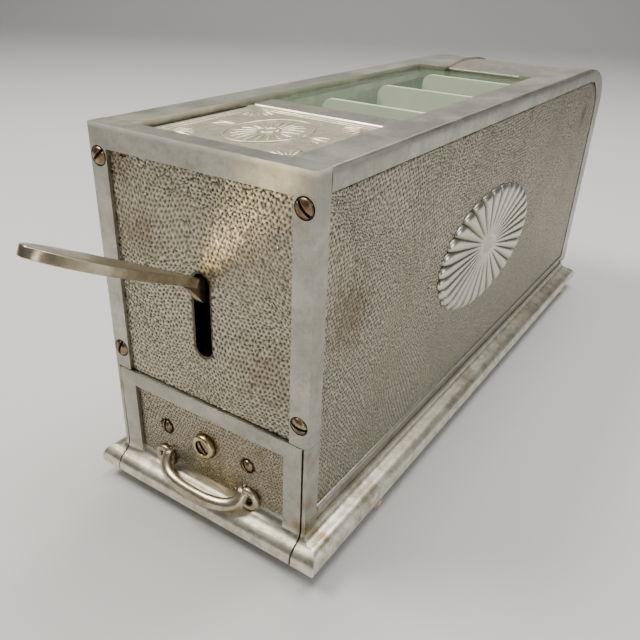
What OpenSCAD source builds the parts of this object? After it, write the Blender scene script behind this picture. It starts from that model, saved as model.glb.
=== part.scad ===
// Counter-top coin sorting machine: cast body, glass-topped coin bins, a front
// hand lever that shifts the gate under the bins, and a lockable coin drawer.
// The body is drawn from its front face (y = 0) rearwards, on its feet (z = 0),
// and seat() then moves it so that the whole machine is centred on Y.

/* [Body] */
// Width across the side castings
body_w = 120; // [116:1:126]
// Height of the top rails above the table
top_z = 195; // [192:1:200]
// Front face to the back of the rear cover
body_l = 419.5; // [410:0.5:430]
// Casting wall thickness
wall = 4; // [3:0.5:4.5]
// Depth of the front plate's wrap-around flange
flange = 9.8; // [8:0.2:12]
// Width of the left top rail
rail_left = 16; // [14:0.5:18]
// Width of the right top rail
rail_right = 18.5; // [16:0.5:20]

/* [Base] */
// Underside of the base moulding above the table
base_z = 7; // [6.5:0.5:9]
// How far the side mouldings stand out
side_flare = 11.2; // [10:0.2:12]
// How far the drawer moulding and the mitred ends stand out
front_flare = 8.8; // [8:0.2:9.4]

/* [Drawer] */
// Height of the drawer's top edge
drawer_top = 71.6; // [68:0.2:72]
// Half width of the drawer front
drawer_half = 57.3; // [56:0.1:57.5]
// Length of the drawer tray behind its front
tray_len = 380; // [340:5:384]
// Sideways place of the lock and the pull
lock_x = -2; // [-4:0.5:4]
// Height of the lock axis
lock_z = 45; // [42:0.5:47]

/* [Lever] */
// Distance of the lever shaft behind the front face
pivot_y = 31; // [30:0.5:32]
// Height of the lever shaft
pivot_z = 117; // [116:0.5:118]
// Upward tilt of the lever at rest, in degrees
lever_rest = 26.7; // [25:0.1:28]
// Reach of the lever from its shaft to its tip
lever_reach = 123.5; // [110:0.5:126]
// Distance from the shaft to the drive pin
pin_arm = 32; // [31:0.5:33]

/* [Bins] */
// Number of partitions across the bins
partitions = 3; // [3:1:3]
// Face of the first partition behind the front face
first_partition = 147; // [140:1:150]
// Spacing of the partitions
bin_pitch = 66; // [60:1:66]

/* [Hidden] */

half = body_w / 2;
inner = half - wall;
gap = 0.2;
strip_top = drawer_top + 0.4;
band_z = top_z - 10.7;
strip_w = 10;
recess = 2;
deck_z = top_z - 3;
glass_t = 2;
lip_top = deck_z - glass_t;
lip_z = lip_top - 4;
rail_in_left = half - rail_left;
rail_in_right = half - rail_right;
lip = 4;
slit_w = 2.6;
slit_y0 = 19;
slit_y1 = 87;
window_y0 = 111;
window_y1 = 292;
ear_y = 286;
ear_left = 21;
ear_right = 9.5;
ear_left_end = 11;
ear_taper_y = 340;
bar_drop = 1.4;
joint_y = 376;
panel_end = 404;
joint_r = panel_end - joint_y;
joint_arc_z = 156;
round_a = 82;
round_b = 40;
round_n = 3;
moulding_end = body_l - 8;
moulding_top = 24;
roll_z = 12.5;
joint_gap = 1.1;
joint_gap_top = 184;
deck_lap = 5;
bead_z = 31.6;
side_screw_x = 55;
screw_low_z = 83.3;
screw_high_z = 180.6;
rear_screw_x = 48;
rear_screw_z = [78, 150];
foot_x = 64.5;
foot_y = [57, 394];
base_half = 61;
base_screw_x = 58.5;
base_screw_y = [36, 216, 368];
slot_w = 10;
slot_low = 97;
slot_high = 139;
lever_t = 4;
lever_top = 4.7;
seam_y = -42;
travel = 48;
arm_tilt = travel / 2;
pin_y = pivot_y - pin_arm * sin(arm_tilt);
pin_z = pivot_z - pin_arm * cos(arm_tilt);
gate_z = 79;
gate_t = 2;
gate_travel = 2 * pin_arm * sin(arm_tilt);
floor_z = gate_z + gate_t + 0.6;
floor_t = 2;
bin_left = -36;
bin_y0 = first_partition - bin_pitch + 16;
bin_y1 = first_partition + partitions * bin_pitch;
partition_t = 3;
tray_half = 53.5;
tray_y0 = 5.2;
tray_z = base_z + 3.9;
tray_top = 64;
sheet = 1.5;
pull_z = 26;
pull_half = 28;
tray_screw_half = 26.5;
lock_r = 4.37;
lock_bore = 4.43;
case_r = 5.2;
cam_y = 15.3;
lever_tip_y = pivot_y - lever_reach * cos(lever_rest) + (lever_top - lever_t) * sin(lever_rest);
middle_y = (lever_tip_y + moulding_end + front_flare) / 2;

aluminium = [0.72, 0.70, 0.65];
dull_aluminium = [0.62, 0.60, 0.54];
steel = [0.45, 0.45, 0.46];
brass = [0.78, 0.62, 0.35];
nickel = [0.60, 0.53, 0.42];
green_glass = [0.72, 0.85, 0.72, 0.45];

// Moves the front-face frame so that the whole machine is centred on Y
module seat() translate([0, -middle_y, 0]) children();

// Outline in (y, z), extruded along X from x0
module along_x(x0, length) translate([x0, 0, 0]) rotate([90, 0, 90]) linear_extrude(length) children();

// Outline in (x, z), extruded along Y from y0
module along_y(y0, length)
    translate([0, y0 + length, 0]) rotate([90, 0, 0]) linear_extrude(length) children();

// Cylinder along Y from y0
module rod_y(x, y0, z, length, r, r2 = 0)
    translate([x, y0, z]) rotate([-90, 0, 0]) cylinder(h = length, r1 = r, r2 = r2 > 0 ? r2 : r, $fn = 48);

// Cylinder along X from x0
module rod_x(x0, y, z, length, r)
    translate([x0, y, z]) rotate([0, 90, 0]) cylinder(h = length, r = r, $fn = 48);

// Rear corner of the body in (y, z): a squarish curve that falls from the top to the back
function corner_point(t, inset) =
    let (a = round_a - inset, b = round_b - inset)
    [body_l - round_a + a * pow(sin(t), 2 / round_n), top_z - round_b + b * pow(cos(t), 2 / round_n)];

// Side outline of the whole body, drawn in by inset
module body_outline(inset = 0) {
    corner = [for (t = [4:6:88]) corner_point(t, inset)];
    top_start = [[-30, top_z - inset], [body_l - round_a, top_z - inset]];
    back = [[body_l - inset, top_z - round_b], [body_l - inset, base_z], [-30, base_z]];
    polygon(concat(top_start, corner, back));
}

// Outline of the side panel's rear edge, grown by extra, from the front joint rearwards
module panel_outline(front_y, extra) {
    r = joint_r + extra;
    arc = [for (t = [0:7.5:90]) [joint_y + r * cos(t), joint_arc_z + r * sin(t)]];
    polygon(concat([[front_y, base_z - 1], [panel_end + extra, base_z - 1]], arc,
        [[joint_y + extra, joint_arc_z + r], [joint_y + extra, top_z + 1], [front_y, top_z + 1]]));
}

// Side base moulding in (distance out from the face, z): a full roll under a small cove
function side_moulding() = concat(
    [[-wall, base_z]],
    [for (t = [-90:15:0]) [side_flare - 3.5 + 3.5 * cos(t), base_z + 3.5 + 3.5 * sin(t)]],
    [for (t = [0:15:90]) [side_flare - 7.5 + 7.5 * cos(t), roll_z + 6.4 * sin(t)]],
    [[2.2, 19.4], [0.9, 20.3], [0.2, 21.8], [0, moulding_top], [-wall, moulding_top]]);

// Front base moulding in (distance out from the face, z): a deep cove over a smaller roll
function front_moulding() = concat(
    [for (t = [-90:15:0]) [front_flare - 2.6 + 2.6 * cos(t), base_z + 2.6 + 2.6 * sin(t)]],
    [for (p = [[0.15, 12.4], [0.9, 14.3], [2.2, 15.9], [3.9, 17.2]]) [front_flare - p[0], p[1]]],
    [[3, 18.4], [1.4, 19.8], [0.5, 21.6], [0, moulding_top]]);

// Slotted oval-head screw pointing along +Y, its head seated at y
module oval_screw(x, y, z, head_r, shank_r, length, turn) {
    difference() {
        union() {
            rod_y(x, y, z, head_r - shank_r, head_r, shank_r);
            translate([x, y, z]) rotate([90, 0, 0]) intersection() {
                translate([0, 0, -head_r * 1.6]) sphere(r = head_r * 1.887, $fn = 64);
                cylinder(h = head_r, r = head_r, $fn = 48);
            }
            rod_y(x, y, z, length, shank_r);
        }
        translate([x, y - 1.2, z]) rotate([0, turn, 0]) cube([head_r * 2.4, 2.6, 1], center = true);
    }
}

// Countersunk hole for an oval-head screw
module countersink(x, y, z, head_r, shank_r, length) {
    rod_y(x, y - 0.01, z, head_r - shank_r + 0.1, head_r + 0.1, shank_r + 0.05);
    rod_y(x, y - 0.01, z, length, shank_r + 0.05);
}

// The four front screw places
module at_front_screws() for (sx = [-1, 1], z = [screw_low_z, screw_high_z])
    translate([sx * side_screw_x, 0, z]) children();

// The four rear screw places
module at_rear_screws() for (sx = [-1, 1], z = rear_screw_z) translate([sx * rear_screw_x, 0, z]) children();

// The four foot places
module at_feet() for (sx = [-1, 1], y = foot_y) translate([sx * foot_x, y, 0]) children();

// Right side casting: panel, rail, drawer-side strip, bead, base moulding and its mitred ends.
// The lip under the rail is left out beside a coin slit.
module side_casting(rail_in, ear, ear_end, slit_y0, slit_y1) {
    difference() {
        union() {
            intersection() {
                along_x(inner, wall - 0.8) panel_outline(flange + gap, 0);
                along_x(inner, wall) body_outline();
            }
            intersection() {
                along_y(flange + gap, joint_y - flange - gap) polygon([[rail_in, top_z], [half - 1.6, top_z],
                    [half - 0.5, top_z - 0.6], [half, top_z - 2], [half + 0.2, top_z - 5], [half, band_z + 0.8],
                    [half - 0.8, band_z], [inner, band_z], [inner, lip_z], [rail_in - lip, lip_z],
                    [rail_in - lip, lip_top], [rail_in, lip_top]]);
                along_x(0, half + 1) body_outline();
            }
            intersection() {
                translate([rail_in, 0, lip_z]) linear_extrude(top_z - lip_z) ear_outline(ear, ear_end);
                along_x(0, half) body_outline();
            }
            translate([inner, 0, base_z]) cube([wall, flange, strip_top - gap - base_z]);
            translate([inner, flange - 0.5, base_z]) cube([wall - 0.8, 1, strip_top - base_z]);
            along_y(flange, panel_end - flange)
                polygon([for (t = [-90:15:90]) [half - 0.8 + 1.7 * cos(t), bead_z + 1.7 * sin(t)]]);
            along_y(0, moulding_end) translate([half, 0]) polygon(side_moulding());
            mitred_end(drawer_half + 0.8);
            translate([0, moulding_end, 0]) mirror([0, 1, 0]) mitred_end(inner);
            for (z = [screw_low_z, screw_high_z])
                translate([inner - 5.5, flange + gap, z - 6]) cube([6, 20, z > band_z - 20 ? 9 : 12]);
            for (z = rear_screw_z) translate([inner - 14, panel_end - 24, z - 6]) cube([14.5, 18, 12]);
        }
        for (z = [screw_low_z, screw_high_z]) rod_y(side_screw_x, 0, z, 40, 2.1);
        for (z = rear_screw_z) rod_y(rear_screw_x, panel_end - 40, z, 60, 2.1);
        for (y = foot_y) translate([foot_x, y, 0]) cylinder(h = base_z + 6, r = 2.05, $fn = 32);
        for (y = base_screw_y) translate([base_screw_x, y, 0]) cylinder(h = base_z + 8, r = 1.6, $fn = 32);
        translate([0, 20, base_z - 1]) cube([base_half + gap, panel_end - 20, 3.5]);
        translate([inner - 1, -20, base_z - 1]) cube([drawer_half + 0.8 - inner + 1, 25.4, strip_top]);
        if (slit_y1 > slit_y0)
            translate([rail_in - lip - 1, slit_y0, lip_z - 1]) cube([lip + 1, slit_y1 - slit_y0, lip_top - lip_z + 2]);
    }
}

// Mitred end of a side moulding, standing out in front of y = 0 from x = edge outwards
module mitred_end(edge) intersection() {
    along_y(-front_flare - 1, front_flare + 1) translate([half, 0]) polygon(side_moulding());
    along_x(edge, half + side_flare + 1 - edge)
        polygon(concat([[0, base_z]], [for (p = front_moulding()) [-p[0], p[1]]]));
}

// Outline in (x, y) of an ear that narrows rearwards, measured from the rail's inner edge
module ear_outline(ear, ear_end) polygon([[1, ear_y], [-ear, ear_y], [-ear, window_y1],
    [-ear_end, ear_taper_y], [-ear_end, joint_y], [1, joint_y]]);

module left_side() color(dull_aluminium) seat() mirror([1, 0, 0])
    side_casting(rail_in_left, ear_left, ear_left_end, slit_y0 - 2, slit_y1 + 2);
module right_side() color(dull_aluminium) seat() side_casting(rail_in_right, ear_right, 0, 0, 0);

// Front casting with its textured recess, lever slot and wrap-around flange
module front_plate() color(aluminium) seat() {
    difference() {
        translate([-half, 0, strip_top]) cube([body_w, flange, top_z - strip_top]);
        translate([-half + strip_w, -1, strip_top - 1])
            cube([body_w - 2 * strip_w, recess + 1, band_z - strip_top + 1]);
        translate([-inner, 5, strip_top - 1]) cube([2 * inner, flange, top_z - wall - strip_top + 1]);
        lever_slot();
        at_front_screws() countersink(0, 0, 0, 4.2, 2.05, 20);
        for (sx = [-1, 1]) rod_y(sx * 16, 3.2, 146, 6, 1.55);
        for (sx = [-1, 1]) rod_y(lock_x + sx * 8, 3.2, 84, 6, 1.55);
    }
}

// Upright slot with round ends that the lever passes through
module lever_slot() {
    r = slot_w / 2;
    translate([-r, -1, slot_low + r]) cube([slot_w, 8, slot_high - slot_low - slot_w]);
    rod_y(0, -1, slot_low + r, 8, r);
    rod_y(0, -1, slot_high - r, 8, r);
}

module front_screws() color(nickel) seat() {
    turn = [35, 120, 60, 15];
    places = [[-1, screw_low_z], [-1, screw_high_z], [1, screw_low_z], [1, screw_high_z]];
    for (i = [0:3]) oval_screw(places[i][0] * side_screw_x, 0, places[i][1], 4.2, 2.05, 26, turn[i]);
}

// Flat bar between the feed plate and the glass
module crossbar() color(aluminium) seat() along_x(-rail_in_left + gap, rail_in_left + rail_in_right - 2 * gap)
    polygon([[92.6, lip_top + gap], [92.2, deck_z - 1.6], [93.4, deck_z],
        [window_y0 - 0.4, deck_z], [window_y0 - 0.4, lip_top + gap]]);

// Embossed plate with the coin slit along its left edge
module feed_plate() color(dull_aluminium) seat() difference() {
    translate([-rail_in_left + gap, flange + gap, lip_top + gap])
        cube([rail_in_left + rail_in_right - 2 * gap, 82, 1.4]);
    translate([-rail_in_left - 1, slit_y0, lip_top]) cube([slit_w + 1, slit_y1 - slit_y0, 3]);
}

// Glass over the bins, notched around the two rear ears
module window_glass() color(green_glass) seat() translate([0, window_y0, lip_top]) difference() {
    translate([-rail_in_left + 0.3, 0, 0])
        cube([rail_in_left + rail_in_right - 0.6, window_y1 + deck_lap - window_y0, glass_t - 0.1]);
    translate([-half, ear_y - window_y0 - gap, -1]) cube([half - rail_in_left + ear_left + gap, 20, 4]);
    translate([rail_in_right - ear_right - gap, ear_y - window_y0 - gap, -1]) cube([half, 20, 4]);
}

// Casting that closes the top behind the glass and laps over the glass's rear edge
module rear_deck() color(aluminium) seat() intersection() {
    translate([0, 0, lip_z]) linear_extrude(40) difference() {
        translate([-rail_in_left + gap, window_y1 + 0.4])
            square([rail_in_left + rail_in_right - 2 * gap, joint_y - window_y1 - 0.4]);
        translate([rail_in_right - gap, 0]) ear_outline(ear_right, 0);
        translate([-rail_in_left + gap, 0]) mirror([1, 0]) ear_outline(ear_left, ear_left_end);
    }
    difference() {
        along_x(-half, body_w) body_outline(bar_drop);
        translate([-half, 0, lip_z - 1]) cube([body_w, window_y1 + deck_lap + 1, lip_top + glass_t + 1.3 - lip_z]);
        translate([rail_in_right - lip - gap, 0, lip_z - 1]) cube([half, joint_y, lip_top + gap + 1 - lip_z]);
    }
}

// Rear casting: round-cornered flange, ears and the flat back
module rear_cover() color(aluminium) seat() {
    difference() {
        union() {
            intersection() {
                along_x(-half, body_w) body_outline();
                translate([-half, joint_y + gap, moulding_top + 0.5]) cube([body_w, 60, 200]);
            }
            translate([-inner + gap, panel_end + gap, base_z])
                cube([2 * inner - 2 * gap, body_l - panel_end - gap, 30]);
        }
        along_x(-half - 1, body_w + 2) panel_outline(0, gap);
        along_x(-half - 1, body_w + 2) intersection() {
            panel_outline(0, joint_gap);
            translate([joint_y - 1, 0]) square([60, joint_gap_top]);
        }
        translate([-rail_in_left + ear_left_end, joint_y - 1, 45]) intersection() {
            cube([rail_in_left - ear_left_end + rail_in_right, 80, top_z]);
            difference() {
                translate([-1, 0, 0]) cube([200, 80, top_z]);
                translate([-200, -joint_y + 1, -45]) along_x(0, 500) body_outline(bar_drop);
            }
        }
        intersection() {
            translate([-inner, joint_y - 2, base_z + 3]) cube([2 * inner, 60, 200]);
            along_x(-half, body_w) body_outline(5);
        }
        at_rear_screws() mirror([0, 1, 0]) translate([0, -body_l, 0]) countersink(0, 0, 0, 4.2, 2.05, 12);
    }
}

module rear_screws() color(nickel) seat() at_rear_screws()
    translate([0, body_l, 0]) mirror([0, 1, 0]) oval_screw(0, 0, 0, 4.2, 2.05, 37, 40);

// Sheet bottom that the drawer slides over
module base_plate() color(steel) seat() difference() {
    translate([-base_half, 20 + gap, base_z]) cube([2 * base_half, panel_end - 20 - 2 * gap, 2.3]);
    at_base_screws() cylinder(h = 20, r = 1.6, $fn = 32);
}

// The six places where the sheet bottom is screwed up into the mouldings
module at_base_screws() for (sx = [-1, 1], y = base_screw_y)
    translate([sx * base_screw_x, y, base_z - 1.2]) children();

module base_screws() color(steel) seat() at_base_screws() {
    cylinder(h = 1.2, r = 3, $fn = 32);
    cylinder(h = 8.5, r = 1.55, $fn = 32);
}

// Brass dome feet with a shank up into the moulding
module feet() color(brass) seat() at_feet() {
    intersection() {
        translate([0, 0, 5.9]) sphere(r = 6.3, $fn = 48);
        cylinder(h = base_z, r = 6.3, $fn = 48);
    }
    cylinder(h = base_z + 5.5, r = 2, $fn = 32);
}

// Wear strip under the tray
module runner(x) color(steel) seat() translate([x - 3, 30, base_z + 2.3]) cube([6, 350, 1.2]);
module runner_left() runner(-40);
module runner_right() runner(40);

// Sloping ledge that the coins roll along on edge, with an upright guide at its outer side
module coin_track() color(dull_aluminium) seat() {
    y1 = bin_y1 + 10;
    along_x(-inner + gap, inner + bin_left - 2.4) polygon([[14, 150], [14, 146], [y1, 122], [y1, 126]]);
    along_x(-rail_in_left - 2, 1.6) polygon([[14, 168], [14, 146], [y1, 122], [y1, 144]]);
}

// Upright plate with a taller window at each bin
module sorting_rail() color(dull_aluminium) seat() difference() {
    along_x(bin_left - 2, 1.7) polygon([[14, 150.4], [bin_y1 + 10, 126.4], [bin_y1 + 10, 172], [14, 172]]);
    for (i = [0:partitions]) {
        y = bin_y0 + 6 + i * bin_pitch - (i > 0 ? 14 : 0);
        z = 151 - (y + 36 - 14) * 24 / (bin_y1 - 4);
        translate([bin_left - 3, y, z]) cube([4, 36, 12 + 3 * i]);
    }
}

// Partition between two bins, its free top corner rounded
module partition(i) color(dull_aluminium) seat() {
    y = first_partition + (i - 1) * bin_pitch;
    r = 7;
    x1 = inner - 0.3;
    z0 = floor_z + floor_t + 0.1;
    z1 = lip_z - 0.3;
    zt = lip_top - 0.5;
    arc = [for (t = [90:15:180]) [bin_left + r + r * cos(t), zt - r + r * sin(t)]];
    along_y(y, partition_t) polygon(concat([[x1, z0], [x1, z1], [rail_in_right - lip - 0.4, z1],
        [rail_in_right - lip - 0.4, zt]], arc, [[bin_left, z0]]));
}
module partition_1() partition(1);
module partition_2() partition(2);
module partition_3() partition(3);

// End wall of the bins
module bin_wall(y) color(dull_aluminium) seat()
    translate([bin_left, y, floor_z + floor_t + 0.1])
        cube([inner - bin_left - 0.3, 2, lip_z - floor_z - floor_t - 0.4]);
module bin_front_wall() bin_wall(bin_y0 - 2);
module bin_rear_wall() bin_wall(bin_y1);

// Place of the window in the floor under bin i
function window_y(i) = (i == 0 ? bin_y0 + 6 : first_partition + (i - 1) * bin_pitch + partition_t + 8);

// Fixed floor with one window a bin
module bin_floor() color(steel) seat() difference() {
    translate([bin_left, bin_y0 - 2, floor_z]) cube([inner - bin_left - 0.3, bin_y1 - bin_y0 + 4, floor_t]);
    for (i = [0:partitions]) translate([-28, window_y(i), floor_z - 1]) cube([72, gate_travel, floor_t + 2]);
}

// Channel that carries one edge of the gate
module gate_guide(x0, side) color(steel) seat() difference() {
    translate([x0, bin_y0 - 30, gate_z - 2]) cube([5, bin_y1 - bin_y0 + 60, gate_t + 2.5]);
    translate([x0 + side * 2, bin_y0 - 31, gate_z - 0.4]) cube([5, bin_y1 - bin_y0 + 62, gate_t + 0.8]);
}
module gate_guide_left() gate_guide(bin_left, 1);
module gate_guide_right() gate_guide(inner - 5.3, -1);

// Sliding gate: solid under each window at rest, open when pushed back
module gate_slide() color(aluminium) seat() difference() {
    union() {
        translate([bin_left + 2.6, bin_y0 - 28, gate_z]) cube([inner - bin_left - 5.6, bin_y1 - bin_y0 + 26, gate_t]);
        translate([5, pin_y - 7, gate_z]) cube([18, bin_y0 - 20 - pin_y, gate_t]);
        translate([5, pin_y - 7, gate_z]) cube([3, 14, 18]);
    }
    translate([0, pin_y - 3.2, pin_z - 6.4]) cube([20, 6.4, 9.6]);
    for (i = [0:partitions])
        translate([-28, window_y(i) - gate_travel, gate_z - 1]) cube([72, gate_travel - 1, gate_t + 2]);
}

// U-shaped bracket behind the front plate that holds the lever shaft
module lever_bracket() color(steel) seat() difference() {
    union() {
        translate([-22, 5.1, 92]) cube([44, 2.4, 60]);
        for (x = [-14.5, 12]) translate([x, 5.1, 104]) cube([2.5, 37, 26]);
    }
    translate([-7, 0, 94]) cube([14, 10, 48]);
    rod_x(-20, pivot_y, pivot_z, 40, 3.04);
    for (sx = [-1, 1]) rod_y(sx * 16, 0, 146, 12, 1.55);
}

module bracket_screws() color(steel) seat() for (sx = [-1, 1]) {
    rod_y(sx * 16, 3.3, 146, 4.3, 1.5);
    rod_y(sx * 16, 7.5, 146, 2, 2.8);
}

module lever_shaft() color(steel) seat() {
    rod_x(-15.5, pivot_y, pivot_z, 32, 3);
    rod_x(14.7, pivot_y, pivot_z, 2, 4.5);
}

// Frame of the lever: origin on the shaft, -Y out of the machine
module lever_frame() translate([0, pivot_y, pivot_z]) rotate([-lever_rest, 0, 0]) children();

// Upright plate of the lever with its hub and its drive arm
module lever_arm() color(nickel) seat() difference() {
    union() {
        lever_frame() along_x(-lever_t / 2, lever_t)
            polygon([[6, lever_top], [seam_y, lever_top], [seam_y, -0.6], [-31, -5.4], [-4, -9], [8, -4]]);
        rod_x(-8, pivot_y, pivot_z, 16, 7.5);
        along_x(-lever_t / 2, lever_t) polygon([[pivot_y - 6, pivot_z - 2], [pin_y - 5, pin_z + 2],
            [pin_y - 3, pin_z - 4], [pin_y + 3, pin_z - 4.6], [pin_y + 5.6, pin_z - 2], [pivot_y + 6, pivot_z - 5]]);
    }
    rod_x(-20, pivot_y, pivot_z, 40, 3.08);
    rod_x(-20, pin_y, pin_z, 40, 2.5);
}

// Flat tongue-shaped finger piece at the end of the lever
module lever_paddle() color(nickel) seat() lever_frame() translate([0, 0, lever_top - 4]) linear_extrude(4) {
    wide = 12;
    cy = -lever_reach + 26;
    polygon(concat([[6, seam_y], [-6, seam_y]],
        [for (t = [0:10:80]) [-(6 + (wide - 6) * (1 - cos(t * 2.25)) / 2), seam_y + (cy - seam_y) * t / 80]],
        [for (t = [10:10:170]) [-wide * cos(t), cy - 26 * sin(t)]],
        [for (t = [80:-10:0]) [6 + (wide - 6) * (1 - cos(t * 2.25)) / 2, seam_y + (cy - seam_y) * t / 80]]));
}

module drive_pin() color(steel) seat() rod_x(-2.8, pin_y, pin_z, 13, 2.45);

// Centre line of the return spring: a leg, turns around the hub, and the other leg
function spring_line() = concat([[-8.2, -3, 17]],
    [for (i = [0:48]) [-7.6 + 4.6 * i / 48, 9.2 * sin(27 * i), 9.2 * cos(27 * i)]],
    [[-2.9, -14, 9]]);

module return_spring() color(steel) seat() translate([0, pivot_y, pivot_z]) wire(spring_line(), 0.55, 6);

// Round wire along a list of points, swept as rings across the YZ turns
module wire(line, r, sides) {
    last = len(line) - 1;
    rings = [for (i = [0:last])
        let (ahead = line[min(i + 1, last)] - line[max(i - 1, 0)])
        let (u = ahead / norm(ahead), v = cross(u, [1, 0, 0]), w = v / norm(v), n = cross(w, u))
        for (k = [0:sides - 1]) line[i] + r * (cos(360 * k / sides) * w + sin(360 * k / sides) * n)];
    skin = [for (i = [0:last - 1], k = [0:sides - 1])
        let (m = (k + 1) % sides)
        [i * sides + k, i * sides + m, (i + 1) * sides + m, (i + 1) * sides + k]];
    ends = [[for (k = [sides - 1:-1:0]) k], [for (k = [0:sides - 1]) last * sides + k]];
    polyhedron(points = rings, faces = concat(skin, ends));
}

// Bent strip that the lock's cam hooks behind
module lock_strike() color(steel) seat() difference() {
    along_x(lock_x - 12, 24) polygon([[5.1, 91.5], [5.1, 75], [12.4, 75], [12.4, 67],
        [14, 67], [14, 76.6], [6.7, 76.6], [6.7, 91.5]]);
    for (sx = [-1, 1]) rod_y(lock_x + sx * 8, 0, 84, 12, 1.55);
}

module strike_screws() color(steel) seat() for (sx = [-1, 1]) {
    rod_y(lock_x + sx * 8, 3.3, 84, 3.5, 1.5);
    rod_y(lock_x + sx * 8, 6.75, 84, 1.6, 2.8);
}

// Drawer front with its framed textured panel and moulded foot
module drawer_front() color(aluminium) seat() difference() {
    lift = 0.4;
    along_x(-drawer_half, 2 * drawer_half) polygon(concat(
        [[5, base_z + lift], [5, drawer_top], [-0.2, drawer_top], [-0.5, drawer_top - 0.6]],
        [for (k = [len(front_moulding()) - 1:-1:0]) [-0.2 - front_moulding()[k][0],
            front_moulding()[k][1] + lift * (k < 7 ? 1 : 0)]]));
    difference() {
        translate([-drawer_half + strip_w, -5, 10]) cube([2 * (drawer_half - strip_w), 5 + recess, 53.5]);
        along_x(-drawer_half - 1, 2 * drawer_half + 2) polygon([[8, 8], [-6, 8], [-6, 18.8], [-3.1, 18.8],
            [-1.6, 19.8], [-0.2, 20.8], [1, 22.4], [1.7, 24], [recess, 25.6], [8, 25.6]]);
    }
    rod_y(lock_x, -10, lock_z, 20, case_r + 0.05);
    for (sx = [-1, 1]) {
        countersink(lock_x + sx * tray_screw_half, recess, lock_z, 3.6, 1.6, 10);
        rod_y(lock_x + sx * pull_half, -2, pull_z, 10, 1.8);
        rod_y(lock_x + sx * pull_half, -5, pull_z, 5 + recess, 6.5);
    }
}

// Sheet-metal tray
module drawer_tray() color(steel) seat() difference() {
    translate([-tray_half, tray_y0, tray_z]) cube([2 * tray_half, tray_len, tray_top - tray_z]);
    translate([-tray_half + sheet, tray_y0 + sheet, tray_z + sheet])
        cube([2 * (tray_half - sheet), tray_len - 2 * sheet, tray_top]);
    rod_y(lock_x, 0, lock_z, 20, case_r + 0.1);
    for (sx = [-1, 1]) {
        rod_y(lock_x + sx * tray_screw_half, 0, lock_z, 20, 1.65);
        rod_y(lock_x + sx * pull_half, 0, pull_z, 20, 1.8);
    }
}

// Cross walls that keep the sorted coins apart in the tray
module tray_dividers() color(steel) seat() for (i = [1:partitions])
    translate([-tray_half + sheet + 0.1, first_partition + (i - 1) * bin_pitch, tray_z + sheet + 0.1])
        cube([2 * (tray_half - sheet) - 0.2, 1.2, 44]);

module tray_screws() color(nickel) seat() for (sx = [-1, 1])
    oval_screw(lock_x + sx * tray_screw_half, recess, lock_z, 3.5, 1.55, 9, sx > 0 ? 62 : 105);

// Bail pull: two ring eyes and a bowed grip
module drawer_pull() color(nickel) seat() {
    for (sx = [-1, 1]) translate([lock_x + sx * pull_half, recess - 0.1, pull_z]) rotate([90, 0, 0])
        rotate_extrude($fn = 32) translate([4.7, 1.6]) circle(r = 1.5, $fn = 14);
    grip();
}

// Point of the grip's centre line, t from 0 at the left eye to 180 at the right one
function grip_point(t) = [lock_x - (pull_half - 3.5) * cos(t), -0.2 - 9.2 * pow(sin(t), 0.7),
    pull_z + 3.5 - 9.5 * pow(sin(t), 0.8)];

// Bowed grip, thicker in its middle, swept as rings that stay square to the X axis
module grip() {
    steps = 18;
    sides = 12;
    rings = [for (i = [0:steps])
        let (t = 180 * i / steps, c = grip_point(t), r = 1.4 + 1.3 * sin(t), a = 72 * cos(t))
        for (k = [0:sides - 1]) let (p = 360 * k / sides)
            [c[0] + r * cos(p) * sin(a), c[1] + r * sin(p), c[2] + r * cos(p) * cos(a)]];
    skin = [for (i = [0:steps - 1], k = [0:sides - 1])
        let (m = (k + 1) % sides)
        [i * sides + k, i * sides + m, (i + 1) * sides + m, (i + 1) * sides + k]];
    ends = [[for (k = [sides - 1:-1:0]) k], [for (k = [0:sides - 1]) steps * sides + k]];
    polyhedron(points = rings, faces = concat(skin, ends));
}

module pull_screws() color(nickel) seat() for (sx = [-1, 1]) difference() {
    union() {
        translate([lock_x + sx * pull_half, recess, pull_z]) rotate([90, 0, 0]) intersection() {
            translate([0, 0, -1.2]) sphere(r = 3.4, $fn = 48);
            cylinder(h = 4, r = 3.1, $fn = 48);
        }
        rod_y(lock_x + sx * pull_half, recess, pull_z, 9, 1.7);
    }
    translate([lock_x + sx * pull_half, recess - 2.2, pull_z]) rotate([0, sx > 0 ? 8 : 65, 0])
        cube([9, 1.6, 0.9], center = true);
}

// Raised collar of the lock with its case tube through the drawer front
module lock_bezel() color(brass) seat() translate([lock_x, recess - 0.05, lock_z]) rotate([90, 0, 0])
    rotate_extrude($fn = 64) polygon(concat([[lock_bore, -10], [case_r, -10], [case_r, 0], [6.2, 0]],
        [for (t = [0:15:90]) [4.9 + 1.3 * cos(t), 2.9 + 1.3 * sin(t)]], [[lock_bore, 3.9]]));

// Slotted barrel that turns in the collar
module lock_barrel() color(nickel) seat() difference() {
    union() {
        rod_y(lock_x, -1, lock_z, cam_y + 0.9, lock_r);
        rod_y(lock_x, cam_y - 0.2, lock_z, 2.5, 2.4);
    }
    translate([lock_x, -1, lock_z]) rotate([0, 52, 0]) cube([12, 1.8, 1.3], center = true);
}

// Cam that swings up behind the strike
module lock_cam() color(steel) seat() difference() {
    union() {
        rod_y(lock_x, cam_y, lock_z, 1.6, 6);
        translate([lock_x, cam_y, lock_z - 4.5]) cube([25, 1.6, 9]);
    }
    rod_y(lock_x, cam_y - 1, lock_z, 5, 2.42);
}

module lock_nut() color(steel) seat() translate([lock_x, 6.8, lock_z]) rotate([-90, 0, 0]) difference() {
    cylinder(h = 3, r = 7.5, $fn = 6);
    translate([0, 0, -1]) cylinder(h = 6, r = case_r + 0.05, $fn = 48);
}

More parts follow.
